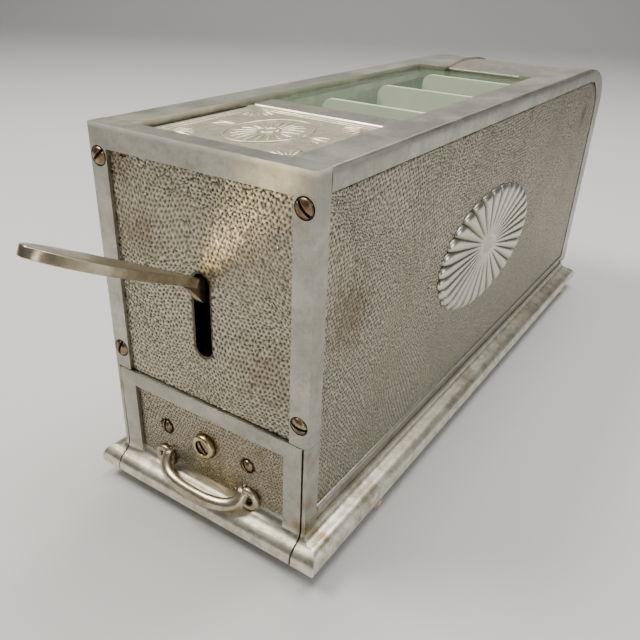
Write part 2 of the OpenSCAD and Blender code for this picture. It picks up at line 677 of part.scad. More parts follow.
left_side();
right_side();
front_plate();
front_screws();
crossbar();
feed_plate();
window_glass();
rear_deck();
rear_cover();
rear_screws();
base_plate();
base_screws();
feet();
runner_left();
runner_right();
coin_track();
sorting_rail();
partition_1();
partition_2();
partition_3();
bin_front_wall();
bin_rear_wall();
bin_floor();
gate_guide_left();
gate_guide_right();
gate_slide();
lever_bracket();
bracket_screws();
lever_shaft();
lever_arm();
lever_paddle();
drive_pin();
return_spring();
lock_strike();
strike_screws();
drawer_front();
drawer_tray();
tray_dividers();
tray_screws();
drawer_pull();
pull_screws();
lock_bezel();
lock_barrel();
lock_cam();
lock_nut();
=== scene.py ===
import math
import bpy
import bmesh
import numpy as np
from mathutils import Matrix, Vector


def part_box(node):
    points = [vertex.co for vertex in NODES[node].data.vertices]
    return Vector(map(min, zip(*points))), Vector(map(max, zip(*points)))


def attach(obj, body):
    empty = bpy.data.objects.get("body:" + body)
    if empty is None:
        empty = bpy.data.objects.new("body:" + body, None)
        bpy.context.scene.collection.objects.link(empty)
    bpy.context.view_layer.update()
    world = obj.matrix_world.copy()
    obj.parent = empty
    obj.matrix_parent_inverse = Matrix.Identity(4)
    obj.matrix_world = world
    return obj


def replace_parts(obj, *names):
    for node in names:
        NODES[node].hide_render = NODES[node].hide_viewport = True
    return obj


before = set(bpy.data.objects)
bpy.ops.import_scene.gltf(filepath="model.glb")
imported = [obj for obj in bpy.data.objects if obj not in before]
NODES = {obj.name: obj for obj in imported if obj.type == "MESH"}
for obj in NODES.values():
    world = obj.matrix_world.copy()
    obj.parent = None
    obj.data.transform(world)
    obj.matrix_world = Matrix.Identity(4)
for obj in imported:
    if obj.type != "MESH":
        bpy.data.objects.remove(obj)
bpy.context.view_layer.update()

# Lengths here are millimetres right of centre, behind the front face and above the table.
MM = 0.001
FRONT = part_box("front_plate")[0].y


def at(x, y, z):
    """Point in the row frame, in metres, from a point in millimetres."""
    return Vector((x * MM, FRONT + y * MM, z * MM))


RECESS_X = 59.2                         # the sides' recessed faces
RECESS_Y = 1.97                         # the front's and the drawer's recessed faces
REAR_Y = 419.5                          # the rear casting's outer face
BAND_Z = 184.3                          # lower edge of the band round the top
STRIP_TOP = 72.0                        # top of the drawer's opening
PLATE_TOP = 191.6                       # the feed plate's upper face
LOCK_X, LOCK_Z = -2.0, 45.0
SMALL_SCREW_HALF = 26.5                 # from the lock to each small screw
PULL_Z, PULL_HALF = 26.0, 28.0          # height of the pull's eyes, and half the distance between them
ROSETTE_Y, ROSETTE_Z = 193.0, 108.7     # centre
ROSETTE_A, ROSETTE_B = 71.0, 36.0       # half axes of the oval

# Heights in metres where the metal starts and ends being painted paler: partly rubbed bright, partly a
# painted highlight where light from above falls on the moulding's roll and the rails' tops
MOULDING_RUB_AND_HIGHLIGHT = (0.0235, 0.0195)
RAIL_RUB_AND_HIGHLIGHT = (0.1925, 0.1945)
# Colours of that paler band: rubbed metal and painted highlight together
RUB_AND_HIGHLIGHT_LOW, RUB_AND_HIGHLIGHT_HIGH, RAIL_RUB_AND_HIGHLIGHT_TONE = (0.58, 0.54, 0.41), (0.88, 0.85, 0.70), (0.80, 0.79, 0.70)

# Stains: x, y, z and reach in millimetres, then strength
FRAME_STAINS = ((60, 0, 68, 5, 0.5), (59, 2, 40, 7, 0.7), (58, -2, 24, 7, 0.8), (62, 6, 20, 12, 0.7),
                (63, 45, 19, 16, 0.5), (-59, 0, 60, 6, 0.6), (-23, 292, 194, 7, 0.7))
LEVER_STAINS = ((0, 2, 130, 22, 0.75), (0, 30, 120, 20, 0.8))
PANEL_STAINS = ((59, 33, 128, 26, 0.55), (59, 372, 160, 12, 0.7), (59, 14, 34, 12, 0.5),
                (-35, 2, 150, 20, 0.4), (40, 2, 100, 26, 0.4), (-45, 2, 180, 14, 0.5))
DRAWER_STAINS = ((-2, 2, 45, 13, 0.5), (-30, 2, 26, 9, 0.5), (26, 2, 26, 9, 0.6))

# ---------------------------------------------------------------- materials


class Mat:
    """A node material under construction. Numbers, colours or sockets go in as keyword arguments."""

    def __init__(self, name, **fixed):
        self.mat = bpy.data.materials.new(name)
        self.mat.use_nodes = True
        self.tree = self.mat.node_tree
        self.shader = self.tree.nodes["Principled BSDF"]
        self.coords = self.tree.nodes.new("ShaderNodeTexCoord").outputs["Object"]
        for key, value in fixed.items():
            self.shader.inputs[key.replace("_", " ")].default_value = value

    def feed(self, socket, value):
        if isinstance(value, bpy.types.NodeSocket):
            self.tree.links.new(value, socket)
        elif isinstance(value, (tuple, list)) and len(value) == 3 and socket.type == "RGBA":
            socket.default_value = (*value, 1.0)
        else:
            socket.default_value = value

    def noise(self, scale, detail=4.0, rough=0.55):
        n = self.tree.nodes.new("ShaderNodeTexNoise")
        self.feed(n.inputs["Vector"], self.coords)
        n.inputs["Scale"].default_value = scale
        n.inputs["Detail"].default_value = detail
        n.inputs["Roughness"].default_value = rough
        return n.outputs["Fac"]

    def cells(self, scale):
        n = self.tree.nodes.new("ShaderNodeTexVoronoi")
        self.feed(n.inputs["Vector"], self.coords)
        n.inputs["Scale"].default_value = scale
        return n.outputs["Distance"]

    def attribute(self, name):
        n = self.tree.nodes.new("ShaderNodeAttribute")
        n.attribute_name = name
        return n.outputs["Fac"]

    def axis(self, which):
        n = self.tree.nodes.new("ShaderNodeSeparateXYZ")
        self.feed(n.inputs[0], self.coords)
        return n.outputs[which]

    def near(self, x, y, z, reach):
        """1 at a place given in millimetres, falling to 0 at the reach, with a ragged edge."""
        ragged = 0.5
        n = self.tree.nodes.new("ShaderNodeVectorMath")
        n.operation = "DISTANCE"
        self.feed(n.inputs[0], self.coords)
        n.inputs[1].default_value = at(x, y, z)
        tear = ragged * reach * MM
        torn = self.span(self.noise(150, 5, 0.7), 0.3, 0.7, -tear, tear, False)
        return self.span(self.math("ADD", n.outputs["Value"], torn), 0.0, reach * MM, 1.0, 0.0)

    def span(self, value, a, b, c=0.0, d=1.0, smooth=True):
        """value mapped from a..b to c..d, held at the ends."""
        n = self.tree.nodes.new("ShaderNodeMapRange")
        n.interpolation_type = "SMOOTHSTEP" if smooth else "LINEAR"
        for key, v in zip(("Value", "From Min", "From Max", "To Min", "To Max"), (value, a, b, c, d)):
            self.feed(n.inputs[key], v)
        return n.outputs["Result"]

    def math(self, op, a, b=0.0):
        n = self.tree.nodes.new("ShaderNodeMath")
        n.operation = op
        self.feed(n.inputs[0], a)
        self.feed(n.inputs[1], b)
        return n.outputs[0]

    def mix(self, fac, a, b):
        n = self.tree.nodes.new("ShaderNodeMix")
        n.data_type = "RGBA"
        self.feed(n.inputs["Factor"], fac)
        self.feed(n.inputs[6], a)
        self.feed(n.inputs[7], b)
        return n.outputs[2]

    def bump(self, height, distance, strength, under=None):
        n = self.tree.nodes.new("ShaderNodeBump")
        self.feed(n.inputs["Height"], height)
        n.inputs["Distance"].default_value = distance
        n.inputs["Strength"].default_value = strength
        if under is not None:
            self.feed(n.inputs["Normal"], under)
        return n.outputs["Normal"]

    def done(self, color, rough=None, normal=None):
        self.feed(self.shader.inputs["Base Color"], color)
        if rough is not None:
            self.feed(self.shader.inputs["Roughness"], rough)
        if normal is not None:
            self.feed(self.shader.inputs["Normal"], normal)
        return self.mat


def darker(color, part):
    return tuple(part * c for c in color)


def satin(name, low, high, stain, rough=(0.30, 0.46), stain_from=0.6, spots=(), rubbed_and_highlit_tops=False):
    """Worn metal with a satin surface: cloudy tone from low to high, brown stains where the noise passes
    stain_from, fine grain and a slight waviness."""
    m = Mat(name, Metallic=1.0)
    cloud = m.noise(34, 6, 0.65)
    grain = m.noise(1100, 3, 0.7)
    tone = m.mix(m.span(cloud, 0.34, 0.66), low, high)
    mottle = m.span(m.noise(190, 5, 0.75), 0.42, 0.66, 0.0, 0.55)
    tone = m.mix(mottle, tone, darker(low, 0.74))
    tone = m.mix(m.span(grain, 0.3, 0.75, 0.0, 0.3), tone, darker(low, 0.7))
    # Painted highlight with wear: the moulding's roll and the rails' tops are painted paler by height
    if rubbed_and_highlit_tops:
        rubbed_and_highlit = m.mix(m.span(m.noise(150, 6, 0.75), 0.36, 0.62), RUB_AND_HIGHLIGHT_LOW, RUB_AND_HIGHLIGHT_HIGH)
        tone = m.mix(m.span(m.axis(2), *MOULDING_RUB_AND_HIGHLIGHT, 0.0, 0.85, False), tone, rubbed_and_highlit)
        tone = m.mix(m.span(m.axis(2), *RAIL_RUB_AND_HIGHLIGHT, 0.0, 0.6, False), tone, RAIL_RUB_AND_HIGHLIGHT_TONE)
    blot = m.span(m.noise(52, 7, 0.75), stain_from, stain_from + 0.14, 0.0, 0.7)
    tone = m.mix(blot, tone, stain)
    for x, y, z, reach, strength in spots:
        tone = m.mix(m.math("MULTIPLY", m.near(x, y, z, reach), strength), tone, stain)
    dots = m.math("MULTIPLY", m.span(m.cells(420), 0.0, 0.17, 1.0, 0.0), m.span(m.noise(130, 2), 0.5, 0.6))
    tone = m.mix(m.math("MULTIPLY", dots, 0.6), tone, darker(stain, 0.45))
    gloss = m.span(m.math("ADD", cloud, m.math("MULTIPLY", grain, 0.4)), 0.45, 0.9, rough[1], rough[0])
    soft = m.bump(m.noise(70, 4), 0.0004, 0.6)
    middle = m.bump(m.noise(420, 3), 0.00006, 0.5, under=soft)
    fine = m.bump(grain, 0.00003, 0.5, under=middle)
    return m.done(tone, gloss, fine)


ALUMINIUM = satin("aged_aluminium", (0.385, 0.372, 0.315), (0.50, 0.487, 0.42), (0.26, 0.185, 0.095),
                  spots=FRAME_STAINS, rubbed_and_highlit_tops=True)
# A paler copy of the frame's metal for the crossbar and rear deck: painted highlight on these top faces
HIGHLIT_ALUMINIUM = satin("highlit_aluminium", (0.52, 0.50, 0.43), (0.76, 0.74, 0.65), (0.38, 0.29, 0.17),
               (0.32, 0.48), 0.64)
CREAM = satin("cream_plate", (0.55, 0.51, 0.38), (0.82, 0.79, 0.64), (0.40, 0.31, 0.16), (0.42, 0.56), 0.58)
SCREW = satin("tan_nickel", (0.22, 0.15, 0.085), (0.50, 0.38, 0.25), (0.07, 0.042, 0.022), (0.24, 0.42), 0.5)
BRASSY = satin("tarnished_brass", (0.42, 0.31, 0.14), (0.78, 0.66, 0.42), (0.16, 0.10, 0.045),
               (0.24, 0.4), 0.55)
STEEL = satin("dull_steel", (0.22, 0.21, 0.20), (0.38, 0.37, 0.35), (0.16, 0.11, 0.07), (0.4, 0.6), 0.58)
LEVER = satin("worn_nickel", (0.40, 0.34, 0.23), (0.72, 0.64, 0.48), (0.15, 0.10, 0.05), (0.26, 0.44), 0.58,
              spots=LEVER_STAINS)
LEVER_DARK = satin("tarnished_lever", (0.17, 0.125, 0.07), (0.40, 0.32, 0.20), (0.07, 0.045, 0.02),
                   (0.3, 0.5), 0.5)
# Near-black painted shade for the screw slots and the seams round the heads
RECESS_SHADE = satin("painted_shade_slot", (0.012, 0.009, 0.006), (0.03, 0.022, 0.015), (0.01, 0.008, 0.005), (0.5, 0.7))


def pebble_material(name, low, mid, high, spots=()):
    """Relief coloured by its stored relief attribute: near black at 0, both tarnish and painted shade in the
    pits; pale at 1, both rubbed tops and a painted highlight; cloudy tone over all.
    """
    dust, tarnish, brown = (0.36, 0.31, 0.22), (0.16, 0.11, 0.06), (0.13, 0.08, 0.035)
    m = Mat(name, Metallic=0.95)
    lift = m.attribute("lift")
    cloud = m.noise(22, 5, 0.6)
    # Painted shade and highlight, with tarnish and rubbing: near black at the relief's foot, pale on its tops
    tone = m.mix(m.span(lift, 0.08, 0.55), low, mid)
    tone = m.mix(m.span(lift, 0.45, 0.95), tone, high)
    tone = m.mix(m.span(cloud, 0.36, 0.7, 0.0, 0.4), tone, dust)
    blot = m.span(m.noise(17, 3, 0.5), 0.68, 0.78, 0.0, 0.6)
    tone = m.mix(blot, tone, tarnish)
    for x, y, z, reach, strength in spots:
        tone = m.mix(m.math("MULTIPLY", m.near(x, y, z, reach), strength), tone, brown)
    rough = m.span(lift, 0.0, 1.0, 0.6, 0.27)
    fine = m.bump(m.noise(1500, 2), 0.00004, 0.4)
    return m.done(tone, rough, fine)


# Near black in the pits for tarnish and painted shade, pale on the tops for rubbing and painted highlight
PEBBLE = pebble_material("pebbled_aluminium", (0.035, 0.026, 0.014), (0.29, 0.265, 0.20),
                         (0.60, 0.57, 0.46), PANEL_STAINS)
PEBBLE_DARK = pebble_material("pebbled_drawer", (0.03, 0.022, 0.012), (0.25, 0.22, 0.155),
                              (0.55, 0.51, 0.39), DRAWER_STAINS)


def bin_material():
    """Pale green enamel, with painted shade darkening it towards the bins' floor."""
    m = Mat("bin_enamel", Metallic=0.0)
    low, high, deep = (0.80, 0.84, 0.60), (0.93, 0.95, 0.76), (0.08, 0.12, 0.07)
    tone = m.mix(m.span(m.noise(40, 4), 0.35, 0.7), low, high)
    # Painted shade: darker towards the bins' floor, where little light reaches under the glass
    tone = m.mix(m.span(m.axis(2), 0.09, 0.176, 0.92, 0.0), tone, deep)
    return m.done(tone, m.span(m.noise(60), 0.3, 0.7, 0.4, 0.6), m.bump(m.noise(300, 3), 0.00008, 0.4))


BIN = bin_material()


def glass_material():
    m = Mat("green_glass", Alpha=0.13, Metallic=0.0)
    tone = m.mix(m.span(m.noise(30), 0.3, 0.7), (0.42, 0.60, 0.44), (0.50, 0.68, 0.52))
    return m.done(tone, m.span(m.noise(80), 0.4, 0.7, 0.05, 0.12), m.bump(m.noise(12, 2), 0.0003, 0.15))


GLASS = glass_material()

# ---------------------------------------------------------------- mesh helpers


def add(name, mesh, material):
    """Links a smooth-shaded object with this mesh and material."""
    obj = bpy.data.objects.new(name, mesh)
    bpy.context.scene.collection.objects.link(obj)
    mesh.materials.append(material)
    mesh.polygons.foreach_set("use_smooth", [True] * len(mesh.polygons))
    return obj


def store_lift(mesh, lift):
    mesh.attributes.new("lift", "FLOAT", "POINT").data.foreach_set("value", lift)


def piece(name, verts, faces, body, material, lift=None):
    mesh = bpy.data.meshes.new(name)
    mesh.from_pydata([tuple(v) for v in verts], [], faces)
    mesh.update()
    obj = add(name, mesh, material)
    if lift is not None:
        store_lift(mesh, lift)
    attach(obj, body)
    outward(obj)
    return obj


def outward(obj):
    bm = bmesh.new()
    bm.from_mesh(obj.data)
    bmesh.ops.recalc_face_normals(bm, faces=bm.faces)
    bm.to_mesh(obj.data)
    bm.free()


def finish_node(name, material, edge=0.0):
    """Keeps a CAD node and gives it its material, smooth shading and edges worn by so many millimetres."""
    obj = NODES[name]
    obj.data.materials.clear()
    obj.data.materials.append(material)
    obj.data.polygons.foreach_set("use_smooth", [True] * len(obj.data.polygons))
    obj.modifiers.new("weld", "WELD").merge_threshold = 2e-6
    if edge:
        bevel = obj.modifiers.new("edge", "BEVEL")
        bevel.width = edge * MM
        bevel.segments = 2
        bevel.limit_method = "ANGLE"
        bevel.angle_limit = math.radians(30)
    obj.modifiers.new("normals", "WEIGHTED_NORMAL").keep_sharp = True


# ---------------------------------------------------------------- pebbled panels


MARGIN = 9                  # lattice rows beyond the outline on each side
SCATTER = 0.17              # how far a pit strays from its lattice point, in pitches
SADDLE, BUMP = 0.72, 0.92   # height between two pits and between three, as parts of the relief
SLAB = 0.7                  # how far the slab reaches below its face


def pebbles(name, width, height, pitch, relief, seed, place, clip, calm, body, material):
    """Slab whose face is a warped lattice of small pits between merged bumps. place(u, v, h) gives
    points in the row frame, clip(u, v) pulls points back inside the outline, and calm(u, v) is 0 where
    the face lies flat."""
    rng = np.random.default_rng(seed)
    row = pitch * math.sqrt(3) / 2
    nu, nv = int(width / pitch) + 2 * MARGIN, int(height / row) + 2 * MARGIN
    j, i = np.meshgrid(np.arange(nv), np.arange(nu), indexing="ij")
    u = (i + 0.5 * (j % 2) - MARGIN + 0.5) * pitch
    v = (j - MARGIN + 0.5) * row
    wu, wv = np.zeros_like(u), np.zeros_like(v)
    for _ in range(5):
        ang = rng.uniform(0, 2 * math.pi)
        wave = rng.uniform(34, 85)
        phase = rng.uniform(0, 2 * math.pi)
        turn = rng.uniform(0, 2 * math.pi)
        s = np.sin((u * math.cos(ang) + v * math.sin(ang)) * 2 * math.pi / wave + phase) * wave * 0.028
        wu += s * math.cos(turn)
        wv += s * math.sin(turn)
    u = u + wu + rng.normal(0, SCATTER * pitch, u.shape)
    v = v + wv + rng.normal(0, SCATTER * pitch, v.shape)
    deep = rng.uniform(0.0, 0.3, u.shape) ** 1.3
    n = nu * nv
    J, I = j[:-1, 1:-1], i[:-1, 1:-1]
    odd = J % 2
    idx = J * nu + I
    ru = (J + 1) * nu + I + odd
    lu = ru - 1
    flat_u, flat_v, flat_t = u.ravel(), v.ravel(), deep.ravel()
    mid0, midl, midr, up, down = (np.zeros(n, int) for _ in range(5))
    pu, pv, ph = [flat_u], [flat_v], [flat_t]
    count = n

    def points(cols, level, jitter):
        nonlocal count
        a = np.stack([flat_u[c] for c in cols]).mean(0)
        b = np.stack([flat_v[c] for c in cols]).mean(0)
        pu.append(a + rng.normal(0, jitter * pitch, a.shape))
        pv.append(b + rng.normal(0, jitter * pitch, b.shape))
        ph.append(level * np.ones(a.shape) + rng.uniform(-0.2, 0.08, a.shape))
        out = np.arange(count, count + len(a))
        count += len(a)
        return out

    ids = idx.ravel()
    right = ids + 1
    ruf, luf = ru.ravel(), lu.ravel()
    mid0[ids] = points([ids, right], SADDLE, 0.07)
    midl[ids] = points([ids, luf], SADDLE, 0.07)
    midr[ids] = points([ids, ruf], SADDLE, 0.07)
    up[ids] = points([ids, right, ruf], BUMP, 0.1)
    down[ids] = points([ids, ruf, luf], BUMP, 0.1)
    # Only cells whose neighbours' own points exist
    ok = (I > 2) & (I < nu - 3) & (J > 0) & (J < nv - 2)
    c = idx[ok]
    cr, r_up, l_up = c + 1, ru[ok], lu[ok]
    fans = []
    for centre, ring in ((up[c], [c, mid0[c], cr, midl[cr], r_up, midr[c]]),
                         (down[c], [c, midr[c], r_up, mid0[l_up], l_up, midl[c]])):
        for k in range(6):
            fans.append(np.stack([centre, ring[k], ring[(k + 1) % 6]], 1))
    faces = np.concatenate(fans)
    pu, pv, ph = np.concatenate(pu), np.concatenate(pv), np.concatenate(ph)
    cu, cv = clip(pu, pv)
    out = (np.abs(cu - pu) + np.abs(cv - pv)) > 1e-6
    faces = faces[~out[faces].all(1)]
    # Points at level 0 also take the material's near-black painted shade: along the outline, under the
    # rosette and in the flat rings round the slot, the lock and the screws
    level = np.where(out, 0.0, ph) * calm(cu, cv)
    used = np.unique(faces)
    remap = -np.ones(len(pu), int)
    remap[used] = np.arange(len(used))
    verts = [place(a, b, h * relief) for a, b, h in zip(cu[used], cv[used], level[used])]
    mesh = bpy.data.meshes.new(name)
    mesh.from_pydata(verts, [], remap[faces].tolist())
    # The relief's heights go to the material, which paints shade in the pits and a highlight on the tops
    store_lift(mesh, level[used])
    bm = bmesh.new()
    bm.from_mesh(mesh)
    bmesh.ops.remove_doubles(bm, verts=bm.verts, dist=2e-5)
    bmesh.ops.dissolve_degenerate(bm, edges=bm.edges, dist=1e-6)
    lost = [f for f in bm.faces if f.calc_area() < 1e-12]
    bmesh.ops.delete(bm, geom=lost, context="FACES_ONLY")
    rim = [e for e in bm.edges if e.is_boundary]
    back = bmesh.ops.extrude_edge_only(bm, edges=rim)["geom"]
    depth = place(0, 0, -SLAB) - place(0, 0, 0)
    for vert in [g for g in back if isinstance(g, bmesh.types.BMVert)]:
        vert.co += depth
    for vert in [g for g in bm.verts if not g.link_faces]:
        bm.verts.remove(vert)
    # Fills the loops that it can at the slab's back: all of the left side's, the front's with the slot
    # closed too, and neither the right side's nor the drawer's, which stay open
    bmesh.ops.holes_fill(bm, edges=[e for e in bm.edges if e.is_boundary], sides=0)
    bmesh.ops.recalc_face_normals(bm, faces=bm.faces)
    bm.to_mesh(mesh)
    bm.free()
    obj = add(name, mesh, material)
    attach(obj, body)


def side_panel(name, sign, seed):
    y0, y1, z0, z1 = 10.1, 403.8, 30.5, BAND_Z + 0.4
    arc_y, arc_z, arc_r = 376.0, 156.0, 27.8

    def place(u, v, h):
        return at(sign * (RECESS_X + 0.03 + h), y0 + u, z0 + v)

    def clip(u, v):
        y = np.clip(u + y0, y0, y1)
        z = np.clip(v + z0, z0, z1)
        corner = (y > arc_y) & (z > arc_z)
        dist = np.hypot(y - arc_y, z - arc_z)
        pull = np.where(corner & (dist > arc_r), arc_r / np.maximum(dist, 1e-6), 1.0)
        y = np.where(corner, arc_y + (y - arc_y) * pull, y)
        z = np.where(corner, arc_z + (z - arc_z) * pull, z)
        return y - y0, z - z0

    def calm(u, v):
        r = np.hypot((u + y0 - ROSETTE_Y) / ROSETTE_A, (v + z0 - ROSETTE_Z) / ROSETTE_B)
        return np.clip((r - 0.96) / 0.02, 0.0, 1.0)

    pebbles(name, y1 - y0, z1 - z0, 2.15, 0.55, seed, place, clip, calm, "body", PEBBLE)


side_panel("right_pebbled_panel", 1, 11)
side_panel("left_pebbled_panel", -1, 12)


def front_panel():
    x0, x1, z0, z1 = -50.2, 50.2, STRIP_TOP + 0.1, BAND_Z + 0.3
    slot_r, slot_low, slot_high = 5.1, 102.0, 134.0

    def place(u, v, h):
        return at(x0 + u, RECESS_Y - h, z0 + v)

    def clip(u, v):
        x = np.clip(u + x0, x0, x1)
        z = np.clip(v + z0, z0, z1)
        mid = np.clip(z, slot_low, slot_high)
        dx, dz = x, z - mid
        dist = np.maximum(np.hypot(dx, dz), 1e-4)
        push = np.where(dist < slot_r, slot_r / dist, 1.0)
        return dx * push - x0, mid + dz * push - z0

    def calm(u, v):
        x, z = u + x0, v + z0
        d = np.hypot(x, z - np.clip(z, slot_low, slot_high))
        return np.clip((d - slot_r) / 1.5, 0.0, 1.0)

    pebbles("front_pebbled_panel", x1 - x0, z1 - z0, 2.25, 0.55, 21, place, clip, calm, "body", PEBBLE)


front_panel()


def drawer_panel():
    x0, x1, z0, z1 = -47.4, 47.4, 23.0, 63.6

    def place(u, v, h):
        return at(x0 + u, RECESS_Y - h, z0 + v)

    def clip(u, v):
        return np.clip(u, 0, x1 - x0), np.clip(v, 0, z1 - z0)

    def calm(u, v):
        x, z = u + x0, v + z0
        c = np.clip((np.hypot(x - LOCK_X, z - LOCK_Z) - 6.0) / 1.0, 0, 1)
        for s in (-1, 1):
            c *= np.clip((np.hypot(x - LOCK_X - s * SMALL_SCREW_HALF, z - LOCK_Z) - 4.1) / 0.8, 0, 1)
        return c

    pebbles("drawer_pebbled_panel", x1 - x0, z1 - z0, 1.7, 0.48, 31, place, clip, calm, "drawer",
            PEBBLE_DARK)


drawer_panel()

# ---------------------------------------------------------------- rosettes


def rosette(name, sign):
    """Oval of rounded petals round a shallow dome, on the right (sign 1) or the left (sign -1) side."""
    petals, across, hub, hub_h, hub_lift = 30, 12, 0.14, 2.1, 0.75
    steps = (0, .03, .08, .16, .26, .38, .5, .62, .72, .78, .82, .86, .9, .93, .955, .975, .99, 1.0)
    verts, faces, lift = [(0, 0, hub_h)], [], [hub_lift]
    cols = petals * across
    for s in (0.35, 0.7, 0.9):
        for c in range(cols):
            t = 2 * math.pi * c / cols
            verts.append((math.cos(t) * ROSETTE_A * hub * s, math.sin(t) * ROSETTE_B * hub * s,
                          hub_h - 0.5 * s ** 3))
            lift.append(hub_lift)
    for s in steps:
        for c in range(cols):
            t = 2 * math.pi * c / cols
            phi = 2 * ((c / across) % 1.0) - 1
            bulge = math.sqrt(max(0.0, 1 - phi * phi))
            reach = hub + (1 - hub) * s * (1 - 0.06 * s * (1 - bulge))
            crest = 1.5 + 1.9 * s ** 0.8
            depth = min(1.0, 3.0 * s) * (1.0 + 0.9 * s)
            h = crest - depth * (1 - bulge ** 0.75)
            fall = max(0.0, (s - 0.82) / 0.18)
            h *= math.sqrt(max(0.0, 1 - fall ** 2.2))
            if s == 1.0:
                h = -0.3
            verts.append((math.cos(t) * ROSETTE_A * reach, math.sin(t) * ROSETTE_B * reach, h))
            # Painted shade: the grooves between the petals and the rim are coloured dark, the crests pale
            painted_shade = min(1.0, 4 * s)
            lift.append(0.0 if s == 1.0 else 1 - painted_shade * (1 - bulge) ** 0.8)
    for c in range(cols):
        faces.append((0, 1 + c, 1 + (c + 1) % cols))
    for r in range(1, 3 + len(steps)):
        for c in range(cols):
            d = (c + 1) % cols
            a, b = 1 + (r - 1) * cols, 1 + r * cols
            faces.append((a + c, b + c, b + d, a + d))
    last = 1 + (2 + len(steps)) * cols
    faces.append(tuple(last + c for c in range(cols)))
    points = [at(sign * (RECESS_X + h), ROSETTE_Y + y, ROSETTE_Z + z) for y, z, h in verts]
    piece(name, points, faces, "body", ROSETTE, lift)


# Dark grooves and rim, pale crests: painted shade and highlight from the stored values
ROSETTE = pebble_material("rosette_aluminium", (0.05, 0.038, 0.022), (0.34, 0.32, 0.265),
                          (0.66, 0.64, 0.55))
rosette("right_rosette", 1)
rosette("left_rosette", -1)

# ---------------------------------------------------------------- screws, lock and pull


def slotted_head(verts, faces, painted_shade, spot, r, shank_r, length, dome, slot, turn, seat=None, out=-1):
    """Adds a slotted dome head with its countersink and shank. spot is the seat's centre on the face, slot
    is (width, depth), turn is the slot's angle in degrees, seat is how deep the head's underside reaches
    and out is the side that the head faces along Y. The flag list gets one flag a face: True in the slot and
    the seam round the head, which are painted near black as shade."""
    first = len(verts)
    width, deep = slot
    half = width / 2
    edge = (half * 0.8, half, half * 1.25)
    side = [half * 1.25 + (0.985 * r - half * 1.25) * k / 7 for k in range(1, 8)]
    rows = [-v for v in reversed(side)] + [-v for v in reversed(edge)] + [0.0] + list(edge) + side
    cols = 21
    ca, sa = math.cos(math.radians(turn)), math.sin(math.radians(turn))
    cap = r * r / (2 * dome) + dome / 2

    def put(u, v, h):
        x, z = u * ca - v * sa, u * sa + v * ca
        verts.append(at(spot[0] + x, spot[1] + out * h, spot[2] + z))

    for v in rows:
        wide = math.sqrt(r * r - v * v)
        for c in range(cols):
            u = wide * math.sin(math.pi / 2 * (2 * c / (cols - 1) - 1))
            rho = math.hypot(u, v)
            h = math.sqrt(max(cap * cap - rho * rho, 0.0)) - cap + dome
            worn = 0.35 * dome * max(0.0, rho / r - 0.9) / 0.1
            floor = h - deep if abs(v) <= half * 0.81 else h - deep * 0.97 if abs(v) < half * 1.01 else h
            put(u, v, max(floor, -deep) - worn)
    n = len(rows)
    for i in range(n - 1):
        inside = abs(rows[i]) <= half * 1.26 and abs(rows[i + 1]) <= half * 1.26
        for c in range(cols - 1):
            a = first + i * cols + c
            faces.append((a, a + 1, a + cols + 1, a + cols))
            painted_shade.append(inside)
    rim = list(range(cols)) + [i * cols + cols - 1 for i in range(1, n)]
    rim += [(n - 1) * cols + c for c in range(cols - 2, -1, -1)] + [i * cols for i in range(n - 2, 0, -1)]
    rings = [[first + k for k in rim]]
    under = r - shank_r if seat is None else seat
    seam = ((r + 0.02, 0.03), (r + 0.45, 0.03), (r + 0.45, -0.02))
    for radius, h in (*seam, (r, -0.25), (shank_r, -under), (shank_r, -length)):
        start = len(verts)
        for k in rim:
            i, c = divmod(k, cols)
            v = rows[i]
            u = math.sqrt(r * r - v * v) * math.sin(math.pi / 2 * (2 * c / (cols - 1) - 1))
            size = math.hypot(u, v)
            put(u / size * radius, v / size * radius, h)
        rings.append(list(range(start, start + len(rim))))
    for step, (a, b) in enumerate(zip(rings, rings[1:])):
        for k in range(len(rim)):
            m = (k + 1) % len(rim)
            faces.append((a[k], a[m], b[m], b[k]))
            painted_shade.append(step < len(seam))
    faces.append(tuple(rings[-1]))
    painted_shade.append(False)


def screw_set(name, node, body, heads):
    verts, faces, painted_shade = [], [], []
    for head in heads:
        slotted_head(verts, faces, painted_shade, **head)
    obj = piece(name, verts, faces, body, SCREW)
    # The slot and the seam round each head take the painted shade
    obj.data.materials.append(RECESS_SHADE)
    obj.data.polygons.foreach_set("material_index", [int(deep) for deep in painted_shade])
    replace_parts(obj, node)


OVAL_HEAD = dict(r=4.2, shank_r=2.05, dome=1.5)
FRONT_SPOTS = ((-55, 83.3, 74), (-55, 180.6, 45), (55, 83.3, -12), (55, 180.6, -46))    # x, z and slot angle
REAR_SPOTS = ((-48, 78, 20), (48, 78, 65), (-48, 150, -40), (48, 150, 10))

screw_set("front_oval_screws", "front_screws", "body", [
    dict(OVAL_HEAD, spot=(x, 0, z), length=26, slot=(1.05, 1.2), turn=turn) for x, z, turn in FRONT_SPOTS])
screw_set("rear_oval_screws", "rear_screws", "body", [
    dict(OVAL_HEAD, spot=(x, REAR_Y, z), length=37, slot=(1.3, 1.2), turn=turn, out=1)
    for x, z, turn in REAR_SPOTS])
screw_set("tray_oval_screws", "tray_screws", "drawer", [
    dict(spot=(LOCK_X + side * SMALL_SCREW_HALF, 1.6, LOCK_Z), r=3.5, shank_r=1.55, length=9, dome=1.6,
         slot=(0.95, 1.1), turn=turn) for side, turn in ((-1, -78), (1, -50))])
screw_set("pull_round_screws", "pull_screws", "drawer", [
    dict(spot=(LOCK_X + side * PULL_HALF, 1.4, PULL_Z), r=3.0, shank_r=1.7, length=9.5, dome=1.3,
         slot=(0.95, 1.1), turn=turn, seat=0.6) for side, turn in ((-1, -55), (1, -8))])


